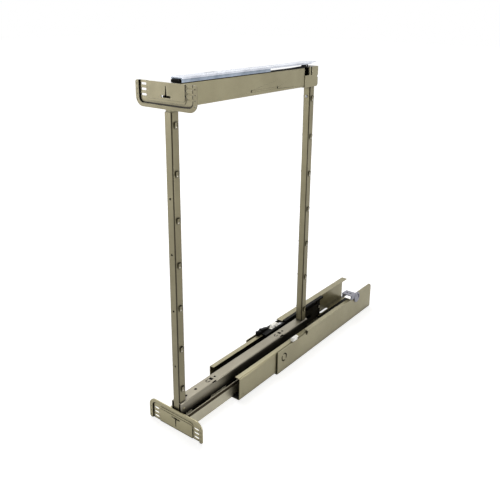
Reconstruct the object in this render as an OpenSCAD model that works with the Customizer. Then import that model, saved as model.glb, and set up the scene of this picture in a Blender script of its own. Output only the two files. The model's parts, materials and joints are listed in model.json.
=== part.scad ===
// Pull-out pantry frame: two hooked posts on a bottom runner, with door brackets
// and a top guide rail. Drawn pulled out of its cabinet rail.
// X is right seen from the front, Y is towards the cabinet's back, Z is up.
// The origin is the cabinet floor, between the front pair of fixing holes.

/* [Pose] */
// How far the frame stands out of its rail as drawn
pull_out = 310; // [260:5:360]

/* [Posts] */
// Front of the front post to front of the rear post
post_pitch = 478; // [460:2:490]
// Width of a post, across the frame
post_w = 19.5; // [18.5:0.5:20]
// Depth of a post, front to back
post_d = 20.5; // [19:0.5:22]
// Wall of a post
post_wall = 1.5; // [1.2:0.1:2]
// Outer corner radius of a post
post_r = 3; // [2.2:0.2:4]
// Hooks on each side of a post
hook_count = 7; // [5:1:7]
// Distance from hook to hook
hook_pitch = 96; // [88:4:96]
// Height of the lowest hook above the cabinet floor
hook_first_z = 94; // [88:2:110]
// Width of a hook's opening
hook_w = 8; // [7:0.5:9]
// Height of a hook
hook_h = 13; // [10:1:15]
// How far a hook stands out at its tip
hook_out = 3.5; // [2.5:0.5:4]
// Heights of the plain holes in the front post
post_hole_z = [157, 287, 413, 531];

/* [Top beam] */
// Underside of the top beam above the cabinet floor
top_beam_z = 708; // [700:2:780]
// Height of the top beam
top_beam_h = 46.5; // [40:0.5:54]
// Width of the top beam
top_beam_w = 23; // [22.5:0.5:24]
// Wall of the top beam
top_beam_wall = 1.5; // [1.2:0.1:1.8]
// Length of the beam behind the rear post
top_beam_tail = 6.5; // [4:0.5:10]

/* [Door brackets] */
// Width of a door bracket
bracket_w = 160; // [150:2:180]
// Height of a door bracket
bracket_h = 50.5; // [49:0.5:52]
// Sheet of a door bracket
bracket_t = 2; // [1.6:0.2:2.4]
// Depth of the pressed steps, front to back
bracket_step = 3; // [2.4:0.2:4]
// Length of a door slot
slot_len = 15; // [12:0.5:16]
// Width of a door slot
slot_w = 4.5; // [4:0.5:5]
// Distance between door slots, up and down
slot_pitch = 10.3; // [9.5:0.1:11]
// Distance between the two columns of door slots
slot_span = 121; // [119:1:123]
// Gap between the lower bracket and the floor
bracket_floor_gap = 0.5; // [0.5:0.5:3]

/* [Cabinet rail] */
// Length of the cabinet rail
rail_len = 494; // [480:2:540]
// Width of the cabinet rail
rail_w = 102; // [101:1:106]
// Height of the rail's walls behind the step
rail_h = 68; // [67:0.5:70]
// Height of the rail's walls in front of the step
rail_front_h = 63; // [62.5:0.5:64]
// Height of the flange left standing at the rear of the right wall
rail_flange_h = 80; // [76:1:88]
// Length of the standing flange
rail_flange_len = 122; // [112:2:132]
// Length of the low part of the walls
rail_front_len = 133; // [128:1:140]
// Sheet of the cabinet rail
rail_t = 2; // [1.6:0.1:2]
// Width of the right wall's inward lip
rail_lip = 11; // [9:0.5:12]
// Width of the left wall's inward lip
left_lip = 18; // [16:0.5:19]
// Front edge of the rail to the first fixing holes
fixing_setback = 37; // [30:1:45]
// First to second pair of fixing holes
fixing_pitch = 224; // [192:32:256]
// Distance across a pair of fixing holes
fixing_span = 76; // [72:2:78]
// Radius of a fixing hole
fixing_r = 2.5; // [2:0.25:3]
// Radius of the two basket holes in the base beam
basket_hole_r = 3.5; // [2.5:0.25:4]

/* [Middle runner] */
// Length of the middle runner's sheet
mid_len = 466; // [450:2:470]
// Gap between the middle runner and each wall of the rail
mid_side_gap = 2.3; // [2.2:0.1:2.8]
// Underside of the middle runner above the cabinet floor
mid_z = 3.2; // [3.2:0.1:3.6]
// Top of the middle runner above the cabinet floor
mid_top_z = 62; // [60:0.5:62]
// Sheet of the middle runner
mid_t = 1.8; // [1.5:0.1:1.9]
// Width of the middle runner's lips
mid_lip = 13.7; // [11:0.1:14]
// Setback of the closed middle runner from the rail's front
mid_setback = 7; // [5:0.5:9]

/* [Inner runner] */
// Width of the inner runner
inner_w = 52; // [51:0.5:52]
// Underside of the inner runner above the cabinet floor
inner_z = 6.5; // [6.5:0.1:7]
// Top edges of the inner runner above the cabinet floor
inner_top_z = 42.5; // [42:0.5:44]
// Sheet of the inner runner
inner_t = 1.8; // [1.5:0.1:2]
// Radius of an upper ball
ball_r = 3; // [2.8:0.1:3]
// Balls in one row
ball_count = 8; // [4:1:8]
// Distance from ball to ball
ball_pitch = 24; // [20:1:24]

/* [Base beam] */
// Width of the base beam that carries the posts
base_w = 27.5; // [26:0.5:29]
// Underside of the base beam above the cabinet floor
base_z = 36; // [34:1:38]
// Top of the base beam above the cabinet floor
base_top_z = 68.5; // [68:0.5:70]
// Wall of the base beam
base_wall = 1.5; // [1.2:0.1:2]

/* [Top rail] */
// Gap between the end of the top rail's channel and the rear post's front
top_rail_setback = 5; // [3:1:12]
// Width of the top rail
top_rail_w = 31; // [30.6:0.2:34]
// Height of the top rail's sides
top_rail_h = 4; // [3.5:0.5:5]
// Sheet of the top rail
top_rail_t = 1.6; // [1.4:0.1:1.8]
// Top beam to the top rail's upper face
top_rail_rise = 11.5; // [11.3:0.1:12.5]
// Length of the top slider
slider_len = 282; // [270:2:300]
// Radius of the guide roller
roller_r = 3.5; // [3:0.1:3.5]

/* [Fits] */
// Gap on each side of a plug or a part in its hole
fit = 0.25; // [0.2:0.05:0.35]
// Running gap on each side of a sliding or rolling part
run = 0.3; // [0.3:0.05:0.4]

/* [Hidden] */
$fn = 48;
over = 1;             // how far a cutter reaches past what it cuts

champagne = [0.61, 0.57, 0.46];
zinc = [0.72, 0.74, 0.78];
steel = [0.62, 0.62, 0.63];
black = [0.07, 0.07, 0.07];
white = [0.93, 0.93, 0.90];
grey = [0.62, 0.62, 0.66];

// Front edges of the three stages
rail_front_y = -fixing_setback;
frame_y = rail_front_y - pull_out;
mid_y = rail_front_y + mid_setback - pull_out / 2;

// Frame levels and lengths
bracket_rise = 3.5;
bracket_top_z = top_beam_z + top_beam_h + bracket_rise;
beam_top_z = top_beam_z + top_beam_h;
frame_depth = post_pitch + post_d;
top_beam_len = frame_depth + top_beam_tail;
inner_floor_z = inner_z + inner_t;
neck_gap = 6;
sleeve_t = 1.2;
front_post_top = top_beam_z - neck_gap;
rear_post_top = top_beam_z - sleeve_t - 2 * fit;
neck_w = post_w - 2 * post_wall - 2 * fit;
neck_d = post_d - 2 * post_wall - 2 * fit;
neck_depth = 32;
screw_drop = 24;

// Runner sections
rail_in = rail_w / 2 - rail_t;
mid_w = rail_w - 2 * (rail_t + mid_side_gap);
mid_in = mid_w / 2 - mid_t;
mid_floor_z = mid_z + mid_t;
groove_depth = 1.5;
strip_t = 0.7;
race_x = inner_w / 2 - groove_depth + strip_t + 2 * ball_r + 2 * run;
race_t = 1.5;
race_top_z = 50;
ball_z = inner_top_z - 6;
low_ball_z = 14;
low_ball_r = (race_x - inner_w / 2) / 2 - run;
cage_front = 50;
cage_margin = 16;
cage_len = (ball_count - 1) * ball_pitch + 2 * cage_margin;

// Top guide levels
rail_top_z = beam_top_z + top_rail_rise;
rail_web_z = rail_top_z - top_rail_t;
slider_gap = 0.4;
slider_t = 1.6;
slider_w = top_rail_w - 2 * top_rail_t - 1.2;
slider_in = slider_w / 2 - slider_t;
slider_top_z = rail_web_z - slider_gap;
slider_z = beam_top_z + 0.8;
slider_front = 26;
top_rail_len = post_pitch - slider_front - top_rail_setback;
guide_w = 2 * slider_in - 1;
track_w = 10;
track_x = guide_w / 2 - track_w;
track_h = 1.2;
ramp_len = 69;
ramp_rise = 1.8;
track_front = 14;
arm_y = post_pitch - 31;
roller_y = arm_y + 10;
slider_travel = 235;
shoe_front = 8;
shoe_len = 26;
pad_y = slider_front + shoe_front + shoe_len + slider_travel + 2;
pad_len = 10;
roller_z = beam_top_z + roller_r + run + 0.1;
roller_w = 6.5;
axle_r = 1.4;

// Flat outlines
module round_rect(w, h, r) {
  // stands on the X axis, centred across it
  translate([-w / 2 + r, 0]) square([w - 2 * r, h]);
  translate([-w / 2, r]) square([w, h - 2 * r]);
  for (x = [-w / 2 + r, w / 2 - r], y = [r, h - r]) translate([x, y]) circle(r);
}

module u_plate(w, h, r_closed, r_open) {
  // straight open edge on the X axis, rounded edge at h
  translate([-w / 2 + r_closed, 0]) square([w - 2 * r_closed, h]);
  translate([-w / 2, r_open]) square([w, h - r_open - r_closed]);
  for (x = [-w / 2 + r_closed, w / 2 - r_closed]) translate([x, h - r_closed]) circle(r_closed);
  for (x = [-w / 2 + r_open, w / 2 - r_open]) translate([x, r_open]) circle(r_open);
  translate([-w / 2 + r_open, 0]) square([w - 2 * r_open, r_open + 0.01]);
}

module slot2d(len, w) {
  square([len - w, w], center = true);
  for (x = [-(len - w) / 2, (len - w) / 2]) translate([x, 0]) circle(w / 2);
}

module mirror_copy() {
  children();
  mirror([1, 0, 0]) children();
}

// Runs a section drawn in X and Z backwards along Y
module along_y(y, len) {
  translate([0, y + len, 0]) rotate([90, 0, 0]) linear_extrude(len) children();
}

// Posts
module post_section(grow = 0) {
  translate([0, -grow]) round_rect(post_w + 2 * grow, post_d + 2 * grow, post_r + grow);
}

module hook_outline(w, h) {
  // U shape standing on its round end, in Y and Z
  translate([-w / 2, w / 2]) square([w, h - w / 2]);
  translate([0, w / 2]) circle(w / 2);
}

hook_t = 1.1;        // sheet left in a pressed hook
hook_foot = 2.4;     // height over which a hook's round foot stands out
hook_slit = 0.8;     // slit above a hook's tip

// Keeps what a side view in X and Z and an outline in Y and Z share
module hook_part(side, w, base, top) {
  depth = post_wall + hook_out + 2 * over;
  intersection() {
    translate([0, w / 2, 0]) rotate([90, 0, 0]) linear_extrude(w) polygon(side);
    translate([-post_wall - over, 0, base]) rotate([90, 0, 90]) linear_extrude(depth)
      hook_outline(w, top - base);
  }
}

module hook_opening() {
  translate([post_w / 2 - post_wall - over, post_d / 2, hook_t]) rotate([90, 0, 90])
    linear_extrude(post_wall + 2 * over)
      hook_outline(hook_w - 2 * hook_t, hook_h + hook_slit - hook_t);
}

module hook_cup() {
  // pocket pressed out of the wall, round at its foot and open at its top
  foot_out = hook_out * 0.6;
  translate([post_w / 2, post_d / 2, 0]) difference() {
    hook_part([[-post_wall / 2, 0], [foot_out * 0.7, 0], [foot_out, hook_foot],
               [hook_out, hook_h], [-post_wall / 2, hook_h]], hook_w, 0, hook_h + over);
    hook_part([[-post_wall - over, hook_t], [foot_out * 0.7 - hook_t * 0.6, hook_t],
               [foot_out - hook_t, hook_foot + hook_t * 0.6],
               [hook_out - hook_t, hook_h + over], [-post_wall - over, hook_h + over]],
              hook_w - 2 * hook_t, hook_t, hook_h + 2 * over);
  }
}

module hooked_post(top_z, y) {
  translate([0, y, 0]) {
    difference() {
      translate([0, 0, inner_floor_z]) linear_extrude(top_z - inner_floor_z) difference() {
        post_section();
        translate([0, post_wall]) round_rect(post_w - 2 * post_wall, post_d - 2 * post_wall,
                                             post_r - post_wall);
      }
      for (i = [0:hook_count - 1]) translate([0, 0, hook_first_z + i * hook_pitch])
        mirror_copy() hook_opening();
    }
    for (i = [0:hook_count - 1]) translate([0, 0, hook_first_z + i * hook_pitch])
      mirror_copy() hook_cup();
  }
}

module front_post() {
  color(champagne) difference() {
    hooked_post(front_post_top, frame_y);
    for (z = post_hole_z) translate([0, frame_y - over, z]) rotate([-90, 0, 0])
      cylinder(r = 2.4, h = post_wall + 2 * over);
    screw_hole(frame_y + post_d, front_post_top, post_wall);
  }
}

module rear_post() {
  color(champagne) difference() {
    hooked_post(rear_post_top, frame_y + post_pitch);
    screw_hole(frame_y + post_pitch, rear_post_top, post_wall);
  }
}

// Round hole for a post screw through a wall at y
module screw_hole(y, top_z, depth) {
  translate([0, y - depth - over, top_z - screw_drop]) rotate([-90, 0, 0])
    cylinder(r = 2, h = 2 * depth + 2 * over);
}

module neck(y, top_z, shoulder) {
  shoulder_step = 1.7;
  plug_w = neck_w - 1;
  plug_d = neck_d - 1;
  translate([0, y, 0]) difference() {
    union() {
      translate([0, post_wall + fit, top_z - neck_depth])
        linear_extrude(neck_depth) round_rect(neck_w, neck_d, 1);
      if (shoulder) translate([0, shoulder_step, top_z])
        linear_extrude(top_beam_z - top_z)
          round_rect(post_w - 2 * shoulder_step, post_d - 2 * shoulder_step, 2);
      translate([0, (post_d - plug_d) / 2, top_z])
        linear_extrude(top_beam_z + 20 - top_z) round_rect(plug_w, plug_d, 1);
    }
    translate([0, -over, top_z - screw_drop]) rotate([-90, 0, 0])
      cylinder(r = 1.9, h = post_d + 2 * over);
  }
}

module front_neck() { color(champagne) neck(frame_y, front_post_top, true); }

module rear_neck() { color(champagne) neck(frame_y + post_pitch, rear_post_top, false); }

module post_screw() {
  head_r = 3.4;
  // head on the face at Y 0, pointing to -Y
  difference() {
    union() {
      rotate([-90, 0, 0]) cylinder(r = 1.8, h = 14);
      intersection() {
        translate([0, 2.6, 0]) sphere(r = 5);
        translate([0, -3, 0]) rotate([-90, 0, 0]) cylinder(r = head_r, h = 3);
      }
    }
    translate([0, -4, 0]) rotate([-90, 0, 0]) cylinder(r = 1.4, h = 3, $fn = 6);
  }
}

module post_screws() {
  color(steel) {
    translate([0, frame_y + post_pitch, rear_post_top - screw_drop]) post_screw();
    translate([0, frame_y + post_d, front_post_top - screw_drop]) mirror([0, 1, 0]) post_screw();
  }
}

// Top beam and the bracket that closes its rear end
window_drop = 19;
window_front = post_pitch - 29;

module beam_windows(grow) {
  // [front, length] of the rear window and of the slit behind it
  for (w = [[window_front, 19], [post_pitch - 4, 6]])
    translate([-top_beam_w, w[0] - grow, beam_top_z - window_drop - grow])
      cube([2 * top_beam_w, w[1] + 2 * grow, window_drop + 3 + grow]);
}

module beam_post_holes(z, h) {
  // clearance for the upper plugs of both necks
  for (y = [0, post_pitch]) translate([0, y + post_wall + 0.5, z])
    linear_extrude(h) round_rect(neck_w - 1 + 2 * fit, neck_d - 1 + 2 * fit, 1);
}

module top_beam() {
  color(champagne) translate([0, frame_y, 0]) difference() {
    along_y(0, top_beam_len) translate([0, top_beam_z]) difference() {
      round_rect(top_beam_w, top_beam_h, 2.4);
      translate([0, top_beam_wall])
        round_rect(top_beam_w - 2 * top_beam_wall, top_beam_h - 2 * top_beam_wall, 1);
    }
    for (y = [post_pitch / 2 + 2.5, post_pitch / 2 + 98.5])
      translate([0, y, top_beam_z + 9.5]) rotate([0, 90, 0])
        cylinder(r = 1.8, h = 2 * top_beam_w, center = true);
    beam_windows(0.5);
    beam_post_holes(top_beam_z - over, top_beam_wall + 2 * over);
  }
}

module beam_end_bracket() {
  in_w = top_beam_w + 2 * fit;
  start = window_front;
  len = top_beam_len + sleeve_t + fit - start;
  z0 = top_beam_z - sleeve_t - fit;
  color(champagne) translate([0, frame_y, 0]) difference() {
    translate([-in_w / 2 - sleeve_t, start, z0])
      cube([in_w + 2 * sleeve_t, len, beam_top_z + 0.4 - z0]);
    translate([-in_w / 2, start - over, top_beam_z - fit])
      cube([in_w, top_beam_len + fit - start + over, top_beam_h + 4]);
    beam_windows(0);
    beam_post_holes(z0 - over, sleeve_t + 2 * over);
    // notches in the rear edges
    mirror_copy() translate([in_w / 2 - 0.5, top_beam_len - 1.5, top_beam_z + 20])
      cube([4, 6, 5]);
    mirror_copy() translate([in_w / 2 + sleeve_t, start + len, z0]) rotate([45, 0, 0])
      cube([8, 6, 6], center = true);
  }
}

// Door brackets: a stamped U plate with a proud rim and a recessed slot channel
rim_w = 9;
rim_low = 7.5;
slot_margin = 4;
panel_w = slot_span - slot_len - 2 * slot_margin;
panel_h = 32;
band = 5;

module slots2d() {
  for (i = [0:2]) for (s = [-1, 1]) {
    translate([s * slot_span / 2, 6.9 + i * slot_pitch]) slot2d(slot_len, slot_w);
    translate([s * (slot_span / 2 - slot_len / 2 - 2.6), 1.3 + i * slot_pitch]) circle(1.4);
  }
  for (i = [0:3]) for (s = [-1, 1])
    translate([s * (bracket_w - rim_w) / 2, 6.9 + i * slot_pitch]) circle(1.3);
  translate([0, 26.6]) slot2d(25, 4.2);
  polygon([[-0.7, 6], [0.7, 6], [2.2, 26], [-2.2, 26]]);
}

module level(front, back) {
  // a flat outline in X and Z, given a thickness from front to back
  translate([0, back, 0]) rotate([90, 0, 0]) linear_extrude(back - front) children();
}

module door_bracket() {
  // rear face at Y 0, straight edge on Z 0, rounded edge above
  deep = bracket_step + bracket_t;
  in_w = bracket_w - 2 * rim_w;
  in_h = bracket_h - rim_low;
  panel_front = -deep + bracket_step * 0.45;
  difference() {
    union() {
      level(-deep, -deep + bracket_t) difference() {
        u_plate(bracket_w, bracket_h, 19, 5);
        translate([0, -over]) u_plate(in_w, in_h + over, 11, 0.5);
      }
      level(-deep, 0) difference() {
        u_plate(in_w + 2 * bracket_t, in_h + bracket_t, 12.5, 0.5);
        translate([0, -over]) u_plate(in_w, in_h + over, 11, 0.5);
      }
      level(-bracket_t, 0) difference() {
        u_plate(in_w + bracket_t, in_h + bracket_t / 2, 12, 0.5);
        translate([0, -over]) u_plate(panel_w - 1, panel_h + over, 4, 0.5);
      }
      level(-bracket_t - 0.9, -0.9) difference() {
        u_plate(panel_w + 3, panel_h + band, 6, 0.5);
        translate([0, -over]) u_plate(panel_w - 1, panel_h + over, 4, 0.5);
      }
      level(panel_front, panel_front + bracket_t) u_plate(panel_w, panel_h, 4.5, 0.5);
      level(panel_front, 0) difference() {
        u_plate(panel_w, panel_h, 4.5, 0.5);
        translate([0, -over]) u_plate(panel_w - 3, panel_h + over - 1.5, 3, 0.5);
      }
    }
    translate([0, over, 0]) rotate([90, 0, 0]) linear_extrude(deep + 2 * over) slots2d();
  }
}

module bracket_bottom() {
  color(champagne) translate([0, frame_y, bracket_floor_gap]) door_bracket();
}

module bracket_top() {
  color(champagne) translate([0, frame_y, bracket_top_z]) mirror([0, 0, 1]) door_bracket();
}

module rivet(y, z) {
  translate([0, y, z]) rotate([0, 90, 0]) rotate_extrude()
    polygon([[0, 0], [3, 0], [2.6, 0.7], [1.4, 1.1], [0, 1.2]]);
}

module bracket_rivets() {
  color(steel) translate([0, frame_y, 0]) mirror_copy() {
    translate([base_w / 2, 0, 0]) rivet(9, base_top_z - 15);
    translate([inner_w / 2, 0, 0]) rivet(9, inner_floor_z + 10);
  }
}

// Base beam and inner runner
module post_cutouts(z, h) {
  for (y = [0, post_pitch]) translate([0, y, z]) linear_extrude(h) post_section(fit);
}

module clip_seat(y, gap) {
  // U-shaped tongue, square hole, round hole and a slot in the near edge
  seat_w = 9.6;
  top = base_top_z - base_wall - over;
  deep = base_wall + 2 * over;
  translate([0, y, top]) linear_extrude(deep) difference() {
    union() {
      translate([-seat_w / 2, 0]) square([seat_w, 5]);
      circle(seat_w / 2);
    }
    translate([-seat_w / 2 + 2.2, -0.5]) square([seat_w - 4.4, 7]);
    circle(seat_w / 2 - 2.2);
  }
  translate([-seat_w / 2, y + gap, top]) cube([seat_w, 8, deep]);
  translate([0, y + gap + 17, top]) cylinder(r = 3, h = deep);
  translate([base_w / 2 - 3, y + 3, base_top_z - 3.4]) cube([4, 13, 6]);
}

module base_beam() {
  h = base_top_z - base_z;
  color(champagne) translate([0, frame_y, 0]) difference() {
    along_y(0, frame_depth + 2) translate([0, base_z]) difference() {
      round_rect(base_w, h, 3);
      translate([0, base_wall]) round_rect(base_w - 2 * base_wall, h - 2 * base_wall, 1.5);
    }
    post_cutouts(base_z - over, h + 2 * over);
    for (y = [post_d + 9.5, post_d + 41.5])
      translate([0, y, base_top_z - base_wall - over])
        cylinder(r = basket_hole_r, h = base_wall + 2 * over);
    clip_seat(102, 8);
    clip_seat(post_pitch - 108, 13);
  }
}

module beam_spacers() {
  len = 40;
  color(black) translate([0, frame_y, 0])
    for (i = [0.5:3.5]) along_y(i * (post_pitch + 2) / 4, len) translate([0, inner_floor_z])
        round_rect(base_w - 6, base_z - inner_floor_z, 2);
}

module inner_runner() {
  x = inner_w / 2;
  g = groove_depth;
  t = inner_t;
  low = ball_z - 5;
  high = ball_z + 4;
  color(champagne) along_y(frame_y, frame_depth - 0.5) polygon([
    [-x, inner_z], [x, inner_z], [x, low], [x - g, low + g], [x - g, high], [x, high + g],
    [x, inner_top_z], [x - t, inner_top_z], [x - t - g, high + 1], [x - t - g, low + 1],
    [x - t, low - 0.5], [x - t, inner_floor_z], [-x + t, inner_floor_z],
    [-x + t, low - 0.5], [-x + t + g, low + 1], [-x + t + g, high + 1],
    [-x + t, inner_top_z], [-x, inner_top_z], [-x, high + g], [-x + g, high],
    [-x + g, low + g], [-x, low]
  ]);
}

module groove_strips() {
  // dark running strips pressed into the grooves of the inner runner
  color(black) mirror_copy()
    translate([inner_w / 2 - groove_depth, frame_y, ball_z - 3.5])
      cube([strip_t, frame_depth - 0.5, 7]);
}

// Balls and their cages
ball_x = inner_w / 2 - groove_depth + strip_t + run + ball_r;
low_ball_x = race_x - run - low_ball_r;
cage_in = low_ball_x - 1.4;
cage_out = low_ball_x + 1.4;

module each_ball() {
  for (i = [0:ball_count - 1])
    translate([0, mid_y + cage_front + cage_margin + i * ball_pitch, 0]) children();
}

module ball_cage() {
  z0 = low_ball_z - low_ball_r - 1;
  difference() {
    translate([cage_in, mid_y + cage_front, z0])
      cube([cage_out - cage_in, cage_len, ball_z + 5 - z0]);
    each_ball() {
      translate([0, 0, ball_z]) rotate([0, 90, 0]) cylinder(r = ball_r + run, h = 80);
      translate([0, 0, low_ball_z]) rotate([0, 90, 0]) cylinder(r = low_ball_r + run, h = 80);
      translate([cage_in - over, 9, low_ball_z + 4]) cube([10, 6, 10]);
    }
  }
}

module ball_cage_right() { color(steel) ball_cage(); }

module ball_cage_left() { color(steel) mirror([1, 0, 0]) ball_cage(); }

module balls() {
  color(steel) mirror_copy() each_ball() {
    translate([ball_x, 0, ball_z]) sphere(r = ball_r);
    translate([low_ball_x, 0, low_ball_z]) sphere(r = low_ball_r);
  }
}

// Middle runner
module middle_runner() {
  h = mid_top_z - mid_z;
  r = 4;
  color(champagne) difference() {
    along_y(mid_y, mid_len) translate([0, mid_z]) difference() {
      round_rect(mid_w, h, r);
      translate([0, mid_t]) round_rect(mid_w - 2 * mid_t, h - 2 * mid_t, r - mid_t);
      translate([-mid_w / 2 + mid_lip, h / 2]) square([mid_w - 2 * mid_lip, h]);
    }
    // pressed dimple in each wall, near the front
    mirror_copy() translate([mid_w / 2, mid_y + 13, mid_z + 13]) sphere(r = 1.6);
  }
}

module race() {
  // C section with its web towards the inner runner
  x1 = mid_in;
  difference() {
    along_y(mid_y + 19, mid_len - 19) polygon([
      [race_x, mid_floor_z], [x1 - 3, mid_floor_z], [x1 - 3, mid_floor_z + race_t],
      [race_x + race_t, mid_floor_z + race_t], [race_x + race_t, race_top_z - race_t],
      [x1, race_top_z - race_t], [x1, race_top_z], [race_x, race_top_z]
    ]);
    // slots that leave the soft-close spring a way through and save weight
    for (i = [0:5]) translate([race_x - over, mid_y + 60 + i * 68, 20]) cube([4, 30, 10]);
  }
}

module race_right() { color(black) race(); }

module race_left() { color(black) mirror([1, 0, 0]) race(); }

module front_pad() {
  // carries the inner runner at the mouth of the middle runner
  color(black) translate([0, mid_y, mid_floor_z]) {
    translate([-mid_in + 3, 0, 0]) cube([2 * mid_in - 6, 18, inner_z - mid_floor_z - run]);
    mirror_copy() translate([inner_w / 2 + 1, 0, 0]) cube([mid_in - inner_w / 2 - 4, 18, 5]);
  }
}

glide_len = 18;

module rear_glide() {
  y = mid_y + mid_len;
  x0 = race_x + race_t + 0.5;
  x1 = rail_in - run;
  color(black) difference() {
    union() {
      translate([x0, y, mid_floor_z]) cube([x1 - x0, glide_len, mid_top_z - mid_floor_z]);
      // tongue that plugs into the runner's wall pocket
      translate([x0 + 1, y - 12, mid_floor_z + race_t + 0.3])
        cube([mid_in - x0 - 2, 12.1, race_top_z - mid_floor_z - 2 * race_t - 0.6]);
    }
    for (z = [22, 44]) translate([x0 + 3, y - over, z]) cube([x1 - x0 - 6, glide_len + 2 * over, 9]);
    translate([x0 - over, y + 11, 36]) rotate([0, 90, 0]) cylinder(r = 2, h = x1 - x0 + 2 * over);
  }
}

module rear_glides() { mirror_copy() rear_glide(); }

module rear_glide_pins() {
  x0 = race_x + race_t + 0.5;
  color(steel) mirror_copy() translate([x0 - 2, mid_y + mid_len + 11, 36]) rotate([0, 90, 0]) {
    cylinder(r = 1.9, h = 12);
    cylinder(r = 4.5, h = 2);
  }
}

// Cabinet rail
lip_front = rail_front_len + 3;
flange_front = rail_len - rail_flange_len;
floor_slot_x = rail_w / 2 - 7.5;
ring_r = 11.5;
ring_slot = 3.8;
bend_r = 3;
flange_r = 16;

module wall_outline(flange) {
  // wall in Y and Z, low at the front, with a round relief where it steps up
  difference() {
    union() {
      square([rail_len, rail_front_h]);
      translate([rail_front_len, 0]) square([rail_len - rail_front_len, rail_h]);
      if (flange) difference() {
        translate([flange_front, 0]) square([rail_flange_len, rail_flange_h]);
        translate([rail_len - flange_r, rail_flange_h - flange_r]) difference() {
          square(flange_r + over);
          circle(flange_r);
        }
      }
    }
    translate([rail_front_len, rail_front_h - 1]) circle(5.5);
  }
}

module rail_wall(x, flange) {
  translate([x, rail_front_y, 0]) rotate([90, 0, 90]) linear_extrude(rail_t)
    wall_outline(flange);
}

module rail_lip_strip(x, width, from, to) {
  translate([x, rail_front_y + from, rail_h - rail_t]) cube([width, to - from, rail_t]);
}

module floor_slot(x, y, len, w) {
  translate([x, y, -over]) linear_extrude(rail_t + 2 * over) rotate(90) slot2d(len, w);
}

module knockout_ring() {
  // two curved slots through the wall round a disc that two bridges hold
  translate([rail_in - over, rail_front_y + 28, 39]) rotate([90, 0, 90])
    linear_extrude(rail_t + 2 * over) difference() {
      circle(ring_r);
      circle(ring_r - ring_slot);
      rotate(125) square([3 * ring_r, 5], center = true);
    }
}

module cabinet_rail() {
  color(champagne) difference() {
    intersection() {
      union() {
        translate([-rail_w / 2, rail_front_y, 0]) cube([rail_w, rail_len, rail_t]);
        rail_wall(rail_w / 2 - rail_t, true);
        rail_wall(-rail_w / 2, false);
        rail_lip_strip(rail_w / 2 - rail_lip, rail_lip, lip_front, flange_front - 2);
        rail_lip_strip(-rail_w / 2, left_lip, lip_front, rail_len);
      }
      // rounds the bends between the floor and the walls
      along_y(rail_front_y, rail_len) round_rect(rail_w, rail_flange_h + 2 * bend_r, bend_r);
    }
    for (x = [-fixing_span / 2, fixing_span / 2], y = [0, fixing_pitch])
      translate([x, y, -over]) cylinder(r = fixing_r, h = rail_t + 2 * over);
    for (x = [-floor_slot_x, floor_slot_x])
      floor_slot(x, rail_front_y + rail_len - 120, 45, 8);
    mirror_copy() knockout_ring();
  }
}

strip_x = 24;
strip_w = 10;

module rail_wear_strips() {
  color(black) mirror_copy() translate([strip_x, rail_front_y + 4, rail_t])
    cube([strip_w, rail_len - 8, mid_z - rail_t - run]);
}

module front_glide_right() {
  // nylon block on the low wall, over the middle runner's lip
  x0 = rail_w / 2 - 9;
  w = 9.5;
  y = rail_front_y + 69;
  color(white) difference() {
    along_y(y, 21) translate([x0 + w / 2, rail_front_h]) round_rect(w, 10, 2.5);
    translate([x0 + 4, y + 15, rail_front_h + 1.2]) cube([8, 7, 5]);
  }
}

// Soft-close unit along the left wall
unit_y = 140;        // front of the housing, from the rail's front
unit_len = 196;
unit_x = -rail_w / 2 + left_lip + 9;    // its inner side
guide_x = -rail_w / 2 + 12;    // between the catch's path and the plate
catch_travel = 40;
catch_y = 37;        // front of the catch, from the rail's front
catch_len = 46;
catch_h = 12;
rod_len = catch_travel + 20;
cylinder_len = catch_travel + 28;
catch_shape = [[0, 0], [0.9, 0], [1, 0.1], [1, 0.4], [0.8, 0.62], [0.52, 0.8], [0.4, 1],
               [0.35, 0.96], [0.3, 0.74], [0.18, 0.68], [0.07, 0.86], [0.01, 0.92], [0, 0.8]];
catch_z = mid_top_z + 2 * run;
tail_w = 4.3;
tail_h = 3;
tail_len = 100;
plate_t = 1;
apron_h = 2.6;
arch_w = 9;
plate_y = catch_y + catch_len + 1;
arm_w = 6;
damper_r = 2.2;
damper_x = unit_x - damper_r - 3;
damper_z = catch_z + plate_t + damper_r + 0.7;

module soft_close_plate() {
  // thin steel tongue in front of the housing, which carries the arch
  color(steel) translate([guide_x, rail_front_y + plate_y, catch_z])
    cube([arch_w, tail_len - arm_w - 8, plate_t]);
}

module front_glide_left() {
  // nylon arch on the steel tongue, open towards the frame
  h = 11;
  len = 34;
  color(white) translate([guide_x, rail_front_y + plate_y, catch_z + plate_t])
    rotate([90, 0, 90]) linear_extrude(arch_w) difference() {
      union() {
        square([len, 3]);
        translate([4, 0]) square([len - 8, h - 6]);
        translate([10, h - 6]) circle(6);
        translate([len - 10, h - 6]) circle(6);
        translate([10, h - 6]) square([len - 20, 6]);
      }
      translate([11.5, -over]) square([12, 3.5 + over]);
      translate([17.5, 2.5]) circle(6);
      translate([-over, -8]) square([len + 2 * over, 8]);
    }
}

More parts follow.
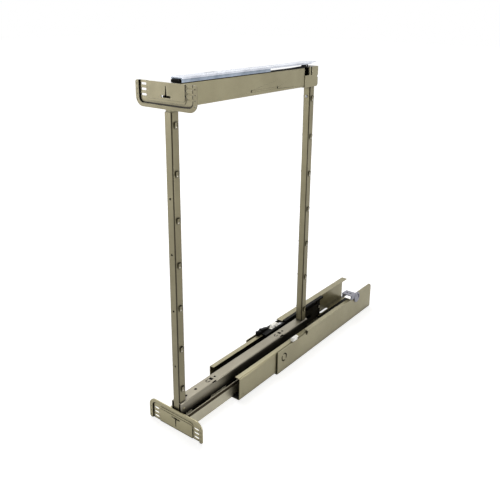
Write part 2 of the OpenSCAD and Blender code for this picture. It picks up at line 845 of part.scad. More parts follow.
module soft_close_housing() {
  y = rail_front_y + unit_y;
  z0 = catch_z + plate_t;
  lip_x = -rail_w / 2 + left_lip;
  top = damper_z + damper_r + 0.8;
  tail_side = -rail_w / 2 + rail_t + tail_w + 2 * run;
  cavity_y = y + catch_y + catch_len + tail_len - unit_y - arm_w - run;
  cavity_len = catch_travel + arm_w + 2 * run;
  color(black) difference() {
    union() {
      translate([tail_side, y, z0]) cube([unit_x - tail_side, unit_len, rail_h - rail_t - z0]);
      translate([lip_x, y, z0]) cube([unit_x - lip_x, unit_len, top - z0]);
      // low apron beside the catch and the steel tongue
      translate([0, rail_front_y, catch_z]) linear_extrude(apron_h)
        polygon([[guide_x, catch_y + 12], [unit_x, catch_y + 12], [unit_x, unit_y + 1],
                 [guide_x + arch_w + run, unit_y + 1], [guide_x + arch_w + run, plate_y - run],
                 [guide_x, plate_y - run]]);
    }
    // room for the catch's arm and the damper rod
    translate([tail_side - over, cavity_y, z0 - over])
      cube([damper_x + 3.5 - tail_side + over, cavity_len, damper_z + 1.8 - z0 + over]);
    translate([damper_x, cavity_y + cavity_len - over, damper_z]) rotate([-90, 0, 0])
      cylinder(r = damper_r + 0.1, h = cylinder_len + 4);
    for (i = [0:4]) translate([unit_x - 1.2, y + 18 + i * 34, z0 + 1.6]) cube([4, 22, 2.4]);
  }
}

damper_y = catch_y + catch_len + tail_len + catch_travel + 2 * run;

module damper_cylinder() {
  color(steel) translate([damper_x, rail_front_y + damper_y, damper_z])
    rotate([-90, 0, 0]) difference() {
      cylinder(r = damper_r, h = cylinder_len);
      translate([0, 0, -over]) cylinder(r = 1.3, h = cylinder_len - 2);
    }
}

module damper_rod() {
  y0 = catch_y + catch_len + tail_len;
  color(steel) translate([damper_x, rail_front_y + y0, damper_z]) rotate([-90, 0, 0])
    cylinder(r = 1, h = rod_len);
}

module soft_close_catch() {
  // two-pronged catch with a flat tail that reaches into the housing
  x0 = -rail_w / 2 + rail_t + run;
  color(black) {
    translate([x0, rail_front_y + catch_y, catch_z]) rotate([90, 0, 90])
      linear_extrude(guide_x - 2 * run - x0)
        polygon([for (p = catch_shape) [p[0] * catch_len, p[1] * catch_h]]);
    translate([x0, rail_front_y + catch_y + catch_len / 2, catch_z])
      cube([tail_w, catch_len / 2 + tail_len, tail_h]);
    translate([x0, rail_front_y + catch_y + catch_len + tail_len - arm_w, catch_z])
      cube([damper_x + 3 - x0, arm_w, tail_h]);
    translate([damper_x - 3, rail_front_y + catch_y + catch_len + tail_len - arm_w, catch_z])
      cube([6, arm_w, damper_z + 1.5 - catch_z]);
  }
}

// Saddle clip over the right wall
clip_front = flange_front - 6;
clip_w = 26;
boss_r = 15;

module rear_saddle_clip() {
  // plastic saddle with a hooked inner edge and a round boss outside
  y = rail_front_y + clip_front;
  wall_x = rail_w / 2;
  inner_x = rail_w / 2 - 29;
  t = 2.7;
  top = rail_flange_h + 0.3;
  boss_y = y + clip_w + 9;
  color(grey) difference() {
    union() {
      translate([inner_x, y, top]) cube([wall_x + 0.3 + t - inner_x, clip_w, t]);
      translate([inner_x, y + 1, top - 13]) cube([t, clip_w - 2, 13.01]);
      translate([wall_x + 0.3, y, top - 12]) cube([t, clip_w, 12.01]);
      // web between the legs, under the saddle's rear edge
      translate([inner_x, y + clip_w - 3, top - 9])
        cube([wall_x - rail_t - 0.3 - inner_x, 2, 9.01]);
      intersection() {
        translate([wall_x + 0.3, boss_y, top - boss_r + 1]) rotate([0, 90, 0])
          cylinder(r = boss_r, h = t + 0.8);
        translate([wall_x, y + clip_w - 12, 0]) cube([10, 60, top + t]);
      }
    }
    for (x = [inner_x + 10, inner_x + 21]) translate([x, y + clip_w / 2, top - over])
      cylinder(r = 3, h = t + 2 * over);
    // curved slot in the boss
    translate([wall_x, boss_y, top - boss_r + 1]) rotate([0, 90, 0]) linear_extrude(8)
      difference() {
        circle(boss_r - 4);
        circle(boss_r - 8);
        translate([-20, -40]) square([40, 40]);
        translate([4, -1]) square([20, 40]);
      }
  }
}

// Top guide
module guide_track() {
  color(black) translate([track_x, frame_y + track_front, beam_top_z])
    cube([track_w, arm_y - ramp_len - track_front, track_h]);
}

module track_pad() {
  color(white) translate([track_x + 0.5, frame_y + pad_y, beam_top_z + track_h])
    cube([track_w - 1, pad_len, slider_top_z - slider_t - run - beam_top_z - track_h]);
}

module roller_arm() {
  // long ramp with a block behind it that holds the roller's axle
  top = slider_top_z - slider_t - run;
  ramp_z = beam_top_z + track_h + ramp_rise;
  color(black) difference() {
    translate([track_x, frame_y, 0]) rotate([90, 0, 90]) linear_extrude(track_w)
      polygon([[arm_y - ramp_len, beam_top_z], [roller_y + 6, beam_top_z],
               [roller_y + 6, top], [arm_y + 3, top], [arm_y, ramp_z],
               [arm_y - ramp_len, beam_top_z + track_h]]);
    translate([guide_w / 2 - roller_w - 0.9, frame_y + roller_y, beam_top_z])
      translate([0, -roller_r - 0.6, -over]) cube([roller_w + 2, 2 * roller_r + 1.2, 12]);
    translate([0, frame_y + roller_y, roller_z]) rotate([0, 90, 0])
      cylinder(r = axle_r + 0.05, h = 2 * guide_w, center = true);
  }
}

module roller_axle() {
  color(steel) translate([track_x + 0.4, frame_y + roller_y, roller_z]) rotate([0, 90, 0])
    cylinder(r = axle_r, h = track_w - 0.8);
}

module guide_roller() {
  color(black) translate([guide_w / 2 - roller_w - 0.5, frame_y + roller_y, roller_z])
    rotate([0, 90, 0]) difference() {
      cylinder(r = roller_r, h = roller_w);
      translate([0, 0, -over]) cylinder(r = axle_r + 0.08, h = roller_w + 2 * over);
    }
}

module top_slider() {
  x = slider_w / 2;
  color(zinc) along_y(frame_y + slider_front, slider_len) polygon([
    [-x, slider_z], [-x + slider_t, slider_z], [-x + slider_t, slider_top_z - slider_t],
    [x - slider_t, slider_top_z - slider_t], [x - slider_t, slider_z], [x, slider_z],
    [x, slider_top_z], [-x, slider_top_z]
  ]);
}

module slider_shoe() {
  z0 = beam_top_z + track_h + run;
  color(white) translate([-slider_in, frame_y + slider_front + shoe_front, z0])
    cube([2 * slider_in, shoe_len, slider_top_z - slider_t - z0]);
}

module slider_cap() {
  // end cap with a plug that fills the slider's mouth
  cap_t = 6;
  plug_z = slider_z + 1;
  color(black) difference() {
    union() {
      translate([-slider_w / 2 + 4, frame_y + slider_front - cap_t, slider_z])
        cube([slider_w - 6.3, cap_t, rail_top_z - 5 - slider_z]);
      translate([-slider_in + fit, frame_y + slider_front - 0.5, plug_z])
        cube([2 * (slider_in - fit), shoe_front, slider_top_z - slider_t - plug_z]);
    }
    translate([track_x - run, frame_y, slider_z - over])
      cube([track_w + 2 * run, 40, track_h + over - 0.5]);
  }
}

module top_rail() {
  x = top_rail_w / 2;
  t = top_rail_t;
  y1 = slider_front + top_rail_len;
  color(zinc) translate([0, frame_y, 0]) difference() {
    union() {
      along_y(slider_front, top_rail_len) polygon([
        [-x, rail_top_z - top_rail_h], [-x + t, rail_top_z - top_rail_h], [-x + t, rail_web_z],
        [x - t, rail_web_z], [x - t, rail_top_z - top_rail_h], [x, rail_top_z - top_rail_h],
        [x, rail_top_z], [-x, rail_top_z]
      ]);
      // tapered mounting tongue behind the rail
      translate([0, 0, rail_web_z]) linear_extrude(t)
        polygon([[-x - 5, y1 - 12], [-x, y1 - 18], [-x, y1 - 40], [x, y1 - 40], [x, y1],
                 [x - 8, y1 + 32], [-x + 3, y1 + 32], [-x - 5, y1 + 14]]);
    }
    for (y = [y1 + 20, slider_front + 64]) translate([0, y, rail_web_z - over])
      cylinder(r = 2.5, h = t + 2 * over);
    // long screw slot near the left edge
    translate([-x + 4.5, slider_front + 110, rail_web_z - over])
      linear_extrude(t + 2 * over) rotate(90) slot2d(40, 4);
  }
}

cabinet_rail();
rail_wear_strips();
front_glide_right();
front_glide_left();
rear_saddle_clip();
soft_close_housing();
soft_close_plate();
damper_cylinder();
soft_close_catch();
damper_rod();
middle_runner();
race_right();
race_left();
front_pad();
rear_glides();
rear_glide_pins();
ball_cage_right();
ball_cage_left();
balls();
inner_runner();
groove_strips();
base_beam();
beam_spacers();
front_post();
rear_post();
front_neck();
rear_neck();
post_screws();
top_beam();
beam_end_bracket();
bracket_top();
bracket_bottom();
bracket_rivets();
guide_track();
track_pad();
roller_arm();
roller_axle();
guide_roller();
top_slider();
slider_shoe();
slider_cap();
top_rail();
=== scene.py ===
# Pull-out pantry frame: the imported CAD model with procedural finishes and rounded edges,
# on a white studio floor. Lengths are metres, unless a name or comment says millimetres.
import bpy
import bmesh
import json
from math import radians, sin, cos
from mathutils import Vector, Matrix


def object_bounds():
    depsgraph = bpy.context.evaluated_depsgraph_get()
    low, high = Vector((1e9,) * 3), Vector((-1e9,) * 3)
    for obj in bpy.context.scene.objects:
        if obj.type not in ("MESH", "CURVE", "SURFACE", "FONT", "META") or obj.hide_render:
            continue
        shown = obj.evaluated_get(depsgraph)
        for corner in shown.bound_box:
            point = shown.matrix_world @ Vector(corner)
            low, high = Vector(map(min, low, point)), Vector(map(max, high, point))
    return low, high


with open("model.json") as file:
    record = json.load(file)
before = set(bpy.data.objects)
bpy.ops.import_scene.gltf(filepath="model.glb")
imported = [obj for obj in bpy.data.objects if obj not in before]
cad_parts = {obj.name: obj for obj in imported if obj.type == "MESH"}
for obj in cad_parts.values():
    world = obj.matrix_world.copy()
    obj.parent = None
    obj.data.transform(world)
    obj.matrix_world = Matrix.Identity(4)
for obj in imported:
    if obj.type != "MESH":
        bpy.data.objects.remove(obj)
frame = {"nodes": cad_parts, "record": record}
CAD_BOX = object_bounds()
NODES = frame["nodes"]
SLOT_OF = {s["node"]: s["material_slot"] for s in frame["record"]["subparts"]}
MM = 0.001

# Camera, fitted to the photograph
CAMERA_PLACE = (0.842, -1.177, 0.896)
CAMERA_AZIMUTH = 37.81
CAMERA_PITCH = 17.30
CAMERA_ROLL = 0.54
CAMERA_LENS = 45.108
CAMERA_SENSOR = 36
CAMERA_SHIFT_Y = -0.1
CAMERA_CLIP = (0.05, 60)


class Nodes:
    """Builds the node tree of a material or world with short calls."""

    SOCKETS = {"color": "Base Color", "metal": "Metallic", "rough": "Roughness",
               "normal": "Normal", "coat": "Coat Weight", "coat_rough": "Coat Roughness",
               "specular": "Specular IOR Level", "glow": "Emission Strength",
               "glow_color": "Emission Color"}
    BEVEL_SAMPLES = 4
    SKY_SAMPLES = 8
    # Cosine of an edge's softened turn where wear starts, and where it is full
    WEAR = (0.995, 0.80)

    def __init__(self, owner, output="ShaderNodeOutputMaterial"):
        owner.use_nodes = True
        self.owner = owner
        self.tree = owner.node_tree
        self.tree.nodes.clear()
        self.out = self.add(output)
        self.coord = self.add("ShaderNodeTexCoord")

    def add(self, kind, inputs=None, **props):
        node = self.tree.nodes.new(kind)
        for key, value in props.items():
            setattr(node, key, value)
        for key, value in (inputs or {}).items():
            self.put(node, key, value)
        return node

    def put(self, node, key, value):
        socket = node.inputs[key]
        if isinstance(value, bpy.types.NodeSocket):
            self.tree.links.new(value, socket)
        else:
            socket.default_value = value

    def noise(self, scale, detail=3.0, stretch=(1, 1, 1), rough=0.5, distort=0.0):
        place = self.add("ShaderNodeMapping", {"Vector": self.coord.outputs["Object"],
                                               "Scale": stretch})
        return self.add("ShaderNodeTexNoise", {"Vector": place.outputs[0], "Scale": scale,
                                               "Detail": detail, "Roughness": rough,
                                               "Distortion": distort}).outputs[0]

    def band(self, value, low, high, to_low=0.0, to_high=1.0):
        """Takes low..high of a value to to_low..to_high, clamped."""
        return self.add("ShaderNodeMapRange", {"Value": value, "From Min": low,
                                               "From Max": high, "To Min": to_low,
                                               "To Max": to_high}).outputs[0]

    def math(self, kind, a, b=0.0):
        return self.add("ShaderNodeMath", {0: a, 1: b}, operation=kind).outputs[0]

    def away(self, a, b):
        """How far a is from b, to either side."""
        return self.math("ABSOLUTE", self.math("SUBTRACT", a, b))

    def split(self, kind):
        """The three parts of a texture coordinate."""
        return self.add("ShaderNodeSeparateXYZ", {0: self.coord.outputs[kind]}).outputs

    def length(self, vector):
        return self.add("ShaderNodeVectorMath", {0: vector},
                        operation="LENGTH").outputs["Value"]

    def reach(self, a, b):
        """Length of the flat vector (a, b)."""
        return self.length(self.add("ShaderNodeCombineXYZ", {0: a, 1: b}).outputs[0])

    def dot(self, a, b):
        return self.add("ShaderNodeVectorMath", {0: a, 1: b},
                        operation="DOT_PRODUCT").outputs["Value"]

    def blend(self, factor, a, b):
        node = self.add("ShaderNodeMix", data_type="RGBA")
        self.put(node, 0, factor)
        self.put(node, 6, a)
        self.put(node, 7, b)
        return node.outputs[2]

    def times(self, color, grey):
        """Multiplies a colour by a grey value."""
        grey = self.add("ShaderNodeCombineColor", {0: grey, 1: grey, 2: grey})
        product = self.blend(1.0, color, grey.outputs[0])
        product.node.blend_type = "MULTIPLY"
        return product

    def edges(self, radius):
        """1 on convex and concave edges within the radius, 0 on flats."""
        soft = self.add("ShaderNodeBevel", {"Radius": radius}, samples=self.BEVEL_SAMPLES)
        flat = self.add("ShaderNodeNewGeometry")
        return self.band(self.dot(soft.outputs[0], flat.outputs["Normal"]), *self.WEAR)

    def paint_fold_shade(self, color, distance, depth, closed=0.25, clear=0.95):
        """Paints shade into a colour in folds and channels: darker where ambient occlusion
        finds them closed in.
        """
        sky = self.add("ShaderNodeAmbientOcclusion", {"Distance": distance},
                       samples=self.SKY_SAMPLES)
        shade = self.band(sky.outputs["AO"], closed, clear, 1.0 - depth, 1.0)
        return self.times(color, shade)

    def bump(self, height, strength, distance):
        return self.add("ShaderNodeBump", {"Height": height, "Strength": strength,
                                           "Distance": distance}).outputs[0]

    def seen(self, rays):
        """1 for the rays that show the background: from the camera, a mirror or glass."""
        return self.math("MAXIMUM", rays["Is Camera Ray"],
                         self.math("MAXIMUM", rays["Is Glossy Ray"],
                                   rays["Is Transmission Ray"]))

    def show(self, shader):
        self.tree.links.new(shader.outputs[0], self.out.inputs[0])
        return self.owner

    def finish(self, **inputs):
        sockets = {self.SOCKETS[key]: value for key, value in inputs.items()}
        return self.show(self.add("ShaderNodeBsdfPrincipled", sockets))


def new_material(name):
    return Nodes(bpy.data.materials.new(name))


def rgb(r, g, b):
    """A colour given in display values from 0 to 255, as linear RGBA."""
    def lin(v):
        v = v / 255
        return v / 12.92 if v <= 0.04045 else ((v + 0.055) / 1.055) ** 2.4
    return (lin(r), lin(g), lin(b), 1.0)


def span_mm(obj, axis):
    """An object's lower end and its length along a world axis."""
    ends = [(obj.matrix_world @ Vector(corner))[axis] / MM for corner in obj.bound_box]
    return min(ends), max(ends) - min(ends)


# Champagne powder coat
CHAMPAGNE = rgb(143, 136, 107), rgb(157, 150, 120)
# Painted shade tone, for the posts' flanks and the brackets' rims
PAINTED_SHADE_TONE = rgb(84, 76, 52)
# Painted dark: the painted shade in folds, holes and round the hooks, and the painted dark
# reflection on the posts' corners
PAINTED_DARK = rgb(44, 38, 20)
# Painted highlight, on the hooks' feet
PAINTED_HIGHLIGHT = rgb(236, 230, 214)
WORN_EDGE = rgb(212, 207, 190)

# In what follows a pair is where a shade starts and where it is full.
# A side face, by the X part of its normal
SIDE_FACE = (0.8, 0.95)
# Painted shade on the posts' side faces, by how much
FLANK_SHADE = 0.24

# Post, in millimetres: hooks with a round foot, the first one HOOK_FIRST above the floor
TUBE_DEPTH = 20.5
HOOK_PITCH = 96.0
HOOK_FIRST = 94.0
HOOK_RADIUS = 4.0
# Painted shadow in the fold round each hook
HOOK_FOLD = 3.6
HOOK_FOLD_WIDTH = (1.9, 1.2)
HOOK_FOLD_TOP = (14.0, 12.5)
HOOK_FOLD_SIDE = (-2.5, 1.0)
HOOK_SHADOW_DARK = 0.95
HOOK_FACE = (0.3, 0.6)
# Painted highlight on each hook's foot
FOOT_HEIGHT = 3.2
FOOT_WIDTH = (2.0, 1.0)
FOOT_DEPTH = (2.0, 0.8)
FOOT_HIGHLIGHT = 0.9
# A rolled corner, by the product of the X and Y parts of its normal, gets a painted dark
# reflection
CORNER_TURN = (0.12, 0.40)
CORNER_PAINTED_DARK = 0.95

# Top beam, in millimetres: two small holes in each side, each under a spot of painted shade
BEAM_HOLES_MIDDLE = 289.5
BEAM_HOLES_APART = 96.0
BEAM_SPOT_UP = 718.5
BEAM_SPOT_WIDTH = (2.1, 1.1)
BEAM_SPOT_HEIGHT = (3.6, 2.4)
BEAM_SPOT_DARK = 0.9

# Door bracket, in millimetres: the channel's fold has corners of CHANNEL_RADIUS about
# centres CHANNEL_X from the middle and CHANNEL_Z from the square edge
PLATE_WIDTH = 160.0
PLATE_HEIGHT = 50.5
CHANNEL_X = 60.0
CHANNEL_Z = 32.0
CHANNEL_RADIUS = 11.0
# Painted shade: a line in the channel's fold, and a duller rim
CHANNEL_LINE = (1.9, 1.1)
CHANNEL_RIM = (-6.0, 2.0)
# between these shares of the width the painted shade line moves from 0.9 to 4.2 inside the
# fold
LINE_INSIDE = (0.80, 0.95, 0.9, 4.2)


def post_shade(post):
    """A drawn tube with pressed hooks, with painted light: painted shade on the flanks, a
    painted dark reflection on the rolled corners, a painted shadow in the fold round each
    hook and a painted highlight on each foot."""
    low, tall = span_mm(post, 2)

    def shade(n, tone):
        side = n.split("Normal")
        across, along = n.math("ABSOLUTE", side[0]), n.math("ABSOLUTE", side[1])
        tone = n.blend(n.band(across, *SIDE_FACE, 0.0, FLANK_SHADE), tone, PAINTED_SHADE_TONE)
        corner = n.band(n.math("MULTIPLY", across, along), *CORNER_TURN, 0.0, CORNER_PAINTED_DARK)
        tone = n.blend(corner, tone, PAINTED_DARK)
        at = n.split("Generated")
        y = n.math("MULTIPLY", n.math("SUBTRACT", at[1], 0.5), TUBE_DEPTH)
        off_middle = n.math("ABSOLUTE", y)
        height = n.math("ADD", n.math("MULTIPLY", at[2], tall), low - HOOK_FIRST)
        z = n.math("MODULO", height, HOOK_PITCH)
        below = n.math("MAXIMUM", n.math("SUBTRACT", HOOK_RADIUS, z), 0.0)
        off = n.away(n.reach(off_middle, below), HOOK_FOLD)
        fold = n.math("MULTIPLY", n.band(off, *HOOK_FOLD_WIDTH, 0.0, HOOK_SHADOW_DARK),
                      n.band(z, *HOOK_FOLD_TOP))
        fold = n.math("MULTIPLY", fold, n.band(across, *HOOK_FACE))
        fold = n.math("MULTIPLY", fold, n.band(y, *HOOK_FOLD_SIDE))
        tone = n.blend(fold, tone, PAINTED_DARK)
        foot = n.math("MULTIPLY", n.band(off_middle, *FOOT_WIDTH, 0.0, FOOT_HIGHLIGHT),
                      n.band(n.away(z, FOOT_HEIGHT), *FOOT_DEPTH))
        return n.blend(foot, tone, PAINTED_HIGHLIGHT)
    return shade


def beam_shade(beam):
    """The top beam: painted shade round the small holes low in each side."""
    long = span_mm(beam, 1)[1]
    low, tall = span_mm(beam, 2)

    def shade(n, tone):
        side, at = n.split("Normal"), n.split("Generated")
        y = n.away(n.math("MULTIPLY", at[1], long), BEAM_HOLES_MIDDLE)
        y = n.away(y, BEAM_HOLES_APART / 2)
        z = n.away(n.math("MULTIPLY", at[2], tall), BEAM_SPOT_UP - low)
        spot = n.math("MULTIPLY", n.band(y, *BEAM_SPOT_WIDTH, 0.0, BEAM_SPOT_DARK),
                      n.band(z, *BEAM_SPOT_HEIGHT))
        spot = n.math("MULTIPLY", spot, n.band(n.math("ABSOLUTE", side[0]), *SIDE_FACE))
        return n.blend(spot, tone, PAINTED_DARK)
    return shade


def press_shade(rounded_up, line, rim):
    """A stamped bracket: a painted shade line in the fold round its channel, and painted
    shade on the rim.
    """
    def shade(n, tone):
        at = n.split("Generated")
        rise = at[2] if rounded_up else n.math("SUBTRACT", 1.0, at[2])
        x = n.math("SUBTRACT", n.math("MULTIPLY", n.away(at[0], 0.5), PLATE_WIDTH), CHANNEL_X)
        z = n.math("SUBTRACT", n.math("MULTIPLY", rise, PLATE_HEIGHT), CHANNEL_Z)
        corner = n.reach(n.math("MAXIMUM", x, 0.0), n.math("MAXIMUM", z, 0.0))
        inside = n.math("MINIMUM", n.math("MAXIMUM", x, z), 0.0)
        out = n.math("SUBTRACT", n.math("ADD", corner, inside), CHANNEL_RADIUS)
        off = n.math("ABSOLUTE", n.math("ADD", out, n.band(at[0], *LINE_INSIDE)))
        tone = n.blend(n.band(out, *CHANNEL_RIM, 0.0, rim), tone, PAINTED_SHADE_TONE)
        return n.blend(n.band(off, *CHANNEL_LINE, 0.0, line), tone, PAINTED_DARK)
    return shade


def champagne_coat(name, fold, tones=CHAMPAGNE, shade=None):
    """Metallic powder coat: flakes, cloudy tone, thin bright wear on edges, orange peel,
    painted shade in folds.

    The fold is what Nodes.paint_fold_shade takes for the painted shade in folds, and the
    shade paints shade and highlights at places on the piece."""
    n = new_material(name)
    cloud = n.band(n.noise(9, 4, rough=0.6), 0.32, 0.68)
    flakes = n.noise(2600, 2, rough=0.7)
    tone = n.blend(cloud, *tones)
    if shade:
        tone = shade(n, tone)
    color = n.times(tone, n.band(flakes, 0.35, 0.75, 0.88, 1.14))
    color = n.paint_fold_shade(color, *fold)
    rub = n.math("MULTIPLY", n.edges(0.0009), n.band(n.noise(160, 3), 0.42, 0.66))
    color = n.blend(n.math("MULTIPLY", rub, 0.45), color, WORN_EDGE)
    smudge = n.band(n.noise(38, 5, rough=0.65), 0.3, 0.7, 0.30, 0.42)
    height = n.math("ADD", n.math("MULTIPLY", n.noise(900, 2), 0.6), n.noise(240, 2))
    return n.finish(color=color, metal=0.62, rough=smudge, coat=0.08, coat_rough=0.25,
                    normal=n.bump(height, 0.10, 0.00022))


# Other finishes
def plated(name, dark, light, rough, along=(1, 0.012, 1), lines=2400):
    """Zinc plate with fine drawn lines along one axis, cloudy passivation and painted shade
    in folds.
    """
    n = new_material(name)
    drawn = n.noise(lines, 3, along, 0.7)
    cloud = n.band(n.noise(22, 5, rough=0.7, distort=0.6), 0.3, 0.7)
    color = n.blend(cloud, dark, light)
    color = n.blend(n.band(drawn, 0.35, 0.7, 0.0, 0.25), color, dark)
    color = n.paint_fold_shade(color, 0.006, 0.6)
    polish = n.math("ADD", n.band(drawn, 0.3, 0.7, rough, rough + 0.14),
                    n.band(cloud, 0, 1, 0.0, 0.06))
    return n.finish(color=color, metal=1.0, rough=polish, normal=n.bump(drawn, 0.16, 0.0001))


def moulded(name, dark, light, rough, grain=1900, specular=0.5, glow=0.0):
    """Moulded plastic: fine spark-eroded grain, slight flow marks, softly rubbed edges,
    painted shade in folds.

    The glow is painted light: an emission that makes the plastic brighter than the lamps
    light it."""
    n = new_material(name)
    flow = n.band(n.noise(34, 4, (1, 0.35, 1), 0.6), 0.3, 0.7)
    texture = n.noise(grain, 2, rough=0.6)
    color = n.blend(flow, dark, light)
    rub = n.math("MULTIPLY", n.edges(0.0005), n.band(n.noise(210, 2), 0.4, 0.7))
    color = n.blend(n.math("MULTIPLY", rub, 0.3), color, light)
    color = n.paint_fold_shade(color, 0.004, 0.45)
    gloss = n.band(texture, 0.3, 0.7, rough, rough + 0.12)
    return n.finish(color=color, rough=gloss, specular=specular, glow=glow, glow_color=light,
                    normal=n.bump(texture, 0.14, 0.00012))


def polished_ball(name):
    """Bearing steel with a thin uneven film of oil."""
    n = new_material(name)
    film = n.band(n.noise(420, 4, rough=0.6), 0.35, 0.65)
    color = n.blend(film, rgb(205, 205, 208), rgb(176, 172, 162))
    return n.finish(color=color, metal=1.0, rough=n.band(film, 0, 1, 0.06, 0.2),
                    coat=0.3, coat_rough=0.1, normal=n.bump(film, 0.04, 0.0001))


# Finish of each of the record's material slots
MATERIALS = {
    "champagne_steel": champagne_coat("coat_champagne", (0.016, 0.72)),
    "bright_zinc": plated("plate_bright", rgb(176, 180, 190), rgb(214, 218, 226), 0.20),
    "blue_zinc": plated("plate_blue", rgb(122, 132, 145), rgb(163, 173, 187), 0.24),
    "zinc_steel": plated("plate_plain", rgb(150, 150, 152), rgb(196, 196, 198), 0.28,
                         (1, 1, 0.05), 1600),
    "ball_steel": polished_ball("steel_ball"),
    "black_steel": moulded("coat_black", rgb(12, 9, 6), rgb(22, 18, 14), 0.46, specular=0.16),
    "black_plastic": moulded("plastic_black", rgb(4, 4, 3), rgb(11, 10, 8), 0.46,
                             specular=0.09),
    # Painted light: the nylon glows, brighter than the lamps light it
    "white_nylon": moulded("nylon_white", rgb(248, 244, 232), rgb(255, 253, 246), 0.42,
                           grain=1400, glow=0.2),
    "grey_plastic": moulded("plastic_grey", rgb(142, 142, 154), rgb(178, 178, 188), 0.42),
}

# Finish of the nodes that differ from the rest of their slot: copies of the champagne coat,
# lighter or darker in tone and fold shade, as painted light and painted shade
FINISH_OF = {
    # Painted shade: a darker, greyer coat with deep painted fold shade
    "base_beam": champagne_coat("coat_champagne_deep_shaded", (0.05, 0.93, 0.45, 0.88),
                                (rgb(136, 130, 113), rgb(148, 142, 126))),
    # Painted shade: a darker coat, with a painted shade line and rim
    "bracket_top": champagne_coat("coat_champagne_upper_shaded", (0.008, 0.97, 0.50, 0.95),
                                  (rgb(128, 121, 95), rgb(141, 134, 107)),
                                  press_shade(False, line=0.9, rim=0.2)),
    # Painted light: a lighter coat, with a weaker painted shade line
    "bracket_bottom": champagne_coat("coat_champagne_lower_lit", (0.005, 0.97, 0.50, 0.95),
                                     (rgb(162, 154, 120), rgb(178, 170, 136)),
                                     press_shade(True, line=0.5, rim=0.0)),
    # Painted shade: a darker coat, with the posts' painted shade, shadow and highlight
    **{name: champagne_coat("coat_" + name, (0.012, 0.95, 0.35, 0.92),
                            (rgb(133, 126, 99), rgb(147, 140, 112)), post_shade(NODES[name]))
       for name in ("front_post", "rear_post")},
    # Painted light: a lighter coat with little painted fold shade
    "inner_runner": champagne_coat("coat_champagne_runner_lit", (0.004, 0.45),
                                   (rgb(172, 166, 144), rgb(190, 184, 162))),
    # Painted shade: deep painted fold shade and spots round the holes
    "top_beam": champagne_coat("coat_champagne_hollow_shaded", (0.05, 0.97, 0.40, 0.70),
                               shade=beam_shade(NODES["top_beam"])),
    # Painted shade: dark strips that stand for the shade in the inner runner's groove
    "groove_strips": moulded("strip_painted_groove_shade", rgb(46, 38, 26), rgb(66, 56, 40), 0.6,
                             specular=0.1),
}

# Rounding of the nodes' edges, in millimetres
EDGE_MM = {"balls": 0, "guide_roller": 0.3, "roller_axle": 0.2, "rail_wear_strips": 0.25,
           "groove_strips": 0.2, "damper_rod": 0.15, "bracket_rivets": 0, "post_screws": 0.15,
           "rear_saddle_clip": 0.7, "front_glide_right": 0.8, "front_glide_left": 0.7,
           "soft_close_catch": 0.6, "soft_close_housing": 0.6, "slider_cap": 0.6,
           "roller_arm": 0.5, "front_pad": 0.6, "beam_spacers": 0.5, "bracket_top": 0.45,
           "bracket_bottom": 0.45}
EDGE_DEFAULT_MM = 0.35
WELD_MM = 0.002
SHARP = radians(32)


def surface(obj, finish):
    """Gives every slot of an object one finish."""
    if not obj.material_slots:
        obj.data.materials.append(finish)
    for place in obj.material_slots:
        place.material = finish


def round_edges(obj, width_mm):
    """Joins the import's split corners and rounds the sharp edges with real faces."""
    weld = obj.modifiers.new("weld", "WELD")
    weld.merge_threshold = WELD_MM * MM
    if width_mm:
        bevel = obj.modifiers.new("edge", "BEVEL")
        bevel.width = width_mm * MM
        bevel.segments = 2
        bevel.limit_method = "ANGLE"
        bevel.angle_limit = SHARP
        bevel.use_clamp_overlap = True
        bevel.harden_normals = True
        bevel.miter_outer = "MITER_ARC"


for node_name, obj in NODES.items():
    surface(obj, FINISH_OF.get(node_name, MATERIALS[SLOT_OF[node_name]]))
    round_edges(obj, EDGE_MM.get(node_name, EDGE_DEFAULT_MM))

# Floor: near the middle it glows less, so that the shadow shows, and is darker in mirrors.
# Both as distance from the middle at the start and end, and the strength there.
FLOOR_GREYS = (0.56, 0.56, 0.56, 1), (0.60, 0.60, 0.60, 1)
FLOOR_GLOW = (0.6, 2.2, 0.80, 1.0)
FLOOR_MIRROR_DIM = (0.3, 1.6, 0.22, 0.0)
WHITE = (1, 1, 1, 1)


def white_floor(name):
    """Pale floor that reads as the white background and keeps a soft shadow."""
    n = new_material(name)
    rays = n.add("ShaderNodeLightPath").outputs
    matt = n.add("ShaderNodeBsdfDiffuse",
                 {"Color": n.blend(n.band(n.noise(14, 4), 0.3, 0.7), *FLOOR_GREYS)})
    away = n.length(n.coord.outputs["Object"])
    dim = n.math("MULTIPLY", n.band(away, *FLOOR_MIRROR_DIM), rays["Is Glossy Ray"])
    fill = n.math("MULTIPLY", n.band(away, *FLOOR_GLOW), n.math("SUBTRACT", 1.0, dim))
    glow = n.add("ShaderNodeEmission", {"Color": WHITE,
                                        "Strength": n.math("MULTIPLY", n.seen(rays), fill)})
    return n.show(n.add("ShaderNodeAddShader", {0: matt.outputs[0], 1: glow.outputs[0]}))


def floor_mesh(half, z):
    mesh = bpy.data.meshes.new("studio_floor")
    bm = bmesh.new()
    bmesh.ops.create_grid(bm, x_segments=8, y_segments=8, size=half,
                          matrix=Matrix.Translation((0, 0, z)))
    bm.to_mesh(mesh)
    bm.free()
    obj = bpy.data.objects.new("studio_floor", mesh)
    bpy.context.scene.collection.objects.link(obj)
    mesh.materials.append(white_floor("floor_white"))
    return obj


floor_mesh(14, CAD_BOX[0].z - 0.1 * MM)

# Lamps: place from the object's middle, size and watts
CENTRE = (CAD_BOX[0] + CAD_BOX[1]) / 2
LAMPS = {"top_box": ((-1.4, 0.9, 2.9), (2.4, 2.4), 80),
         "left_box": ((-3.4, -2.4, -0.1), (2.4, 2.8), 66),
         "right_box": ((3.9, 0.3, 0.0), (2.2, 1.4), 66)}


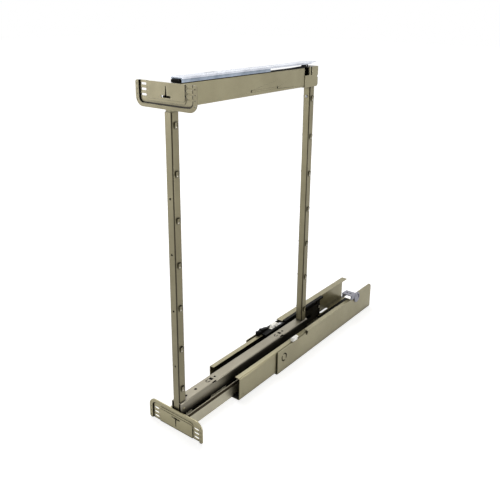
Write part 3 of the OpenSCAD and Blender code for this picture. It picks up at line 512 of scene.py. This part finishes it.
def soft_box(name, place, size, watts):
    """A lamp that faces the object's middle."""
    light = bpy.data.lights.new(name, "AREA")
    light.shape = "RECTANGLE"
    light.size, light.size_y = size
    light.energy = watts
    obj = bpy.data.objects.new(name, light)
    obj.location = place
    obj.rotation_euler = (CENTRE - place).to_track_quat("-Z", "Y").to_euler()
    bpy.context.scene.collection.objects.link(obj)


for lamp_name, (offset, size, watts) in LAMPS.items():
    soft_box(lamp_name, CENTRE + Vector(offset), size, watts)

# World: white to the camera and in mirrors, dim as a lamp. Mirrors see one dark side too,
# which starts and is full at these cosines of the angle to its direction.
AMBIENT = 0.10
DARK_SIDE = (0.60, -0.78, 0.15)
DARK_SPREAD = (0.80, 0.97)
DARK_DEPTH = 0.75


def studio_world():
    world = bpy.data.worlds.new("studio_world")
    bpy.context.scene.world = world
    n = Nodes(world, "ShaderNodeOutputWorld")
    rays = n.add("ShaderNodeLightPath").outputs
    strength = n.math("ADD", n.math("MULTIPLY", n.seen(rays), 1 - AMBIENT), AMBIENT)
    toward = n.dot(n.coord.outputs["Generated"], DARK_SIDE)
    dark = n.math("MULTIPLY", n.band(toward, *DARK_SPREAD, 0.0, DARK_DEPTH),
                  rays["Is Glossy Ray"])
    strength = n.math("MULTIPLY", strength, n.math("SUBTRACT", 1.0, dark))
    n.show(n.add("ShaderNodeBackground", {"Color": WHITE, "Strength": strength}))


studio_world()

cam_data = bpy.data.cameras.new("photo_camera")
cam = bpy.data.objects.new("photo_camera", cam_data)
bpy.context.scene.collection.objects.link(cam)
az, pitch = radians(CAMERA_AZIMUTH), radians(CAMERA_PITCH)
forward = Vector((-sin(az) * cos(pitch), cos(az) * cos(pitch), -sin(pitch)))
turn = forward.to_track_quat("-Z", "Y").to_matrix().to_4x4()
cam.matrix_world = (Matrix.Translation(CAMERA_PLACE) @ turn
                    @ Matrix.Rotation(radians(CAMERA_ROLL), 4, "Z"))
cam_data.lens = CAMERA_LENS
cam_data.sensor_width = CAMERA_SENSOR
cam_data.shift_y = CAMERA_SHIFT_Y
cam_data.clip_start, cam_data.clip_end = CAMERA_CLIP
bpy.context.scene.camera = cam
bpy.context.scene.view_settings.view_transform = "Standard"
